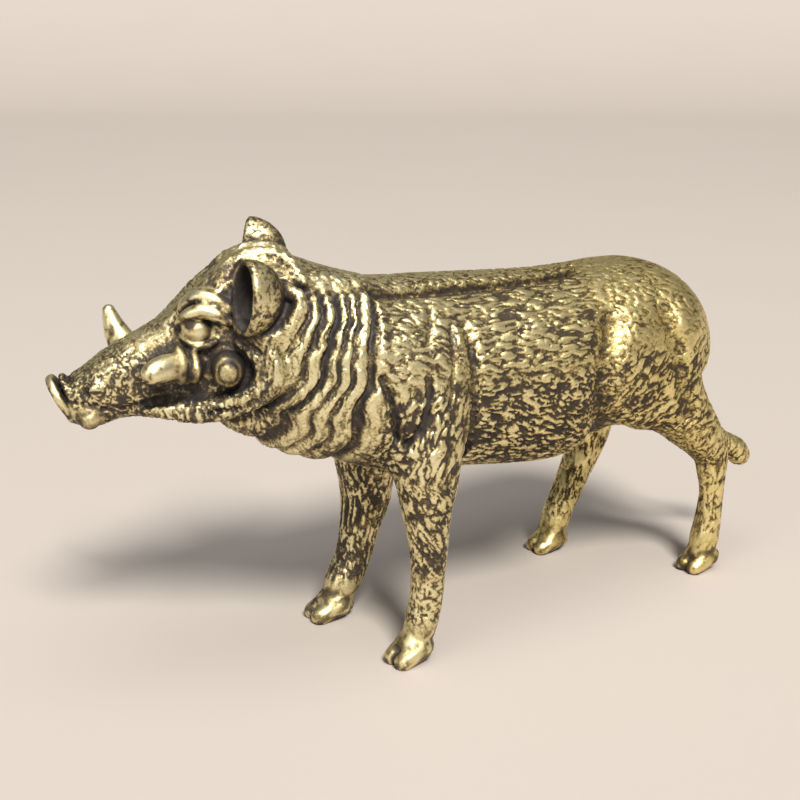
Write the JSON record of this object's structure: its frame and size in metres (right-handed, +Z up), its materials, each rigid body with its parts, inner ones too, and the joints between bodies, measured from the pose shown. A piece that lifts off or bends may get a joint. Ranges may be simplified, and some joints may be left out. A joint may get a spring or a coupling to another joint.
{
  "type": "brass boar statue",
  "caption": "Small solid-cast brass warthog figurine standing on its hooves, with a wrinkled neck, curved tusks, upright ears and a tufted tail.",
  "frame": {"origin": "centre of the bounding box at its base, in the plane of the soles", "axes": "+X from the head towards the tail, +Y towards the animal's right side, +Z up"},
  "size_m": [0.0572, 0.0164, 0.0308],
  "materials": {
    "brass": "aged cast brass: worn bright on the high spots, brown-black patina in the recesses"
  },
  "bodies": {
    "root": {"boar_statue": "brass"}
  },
  "joints": []
}
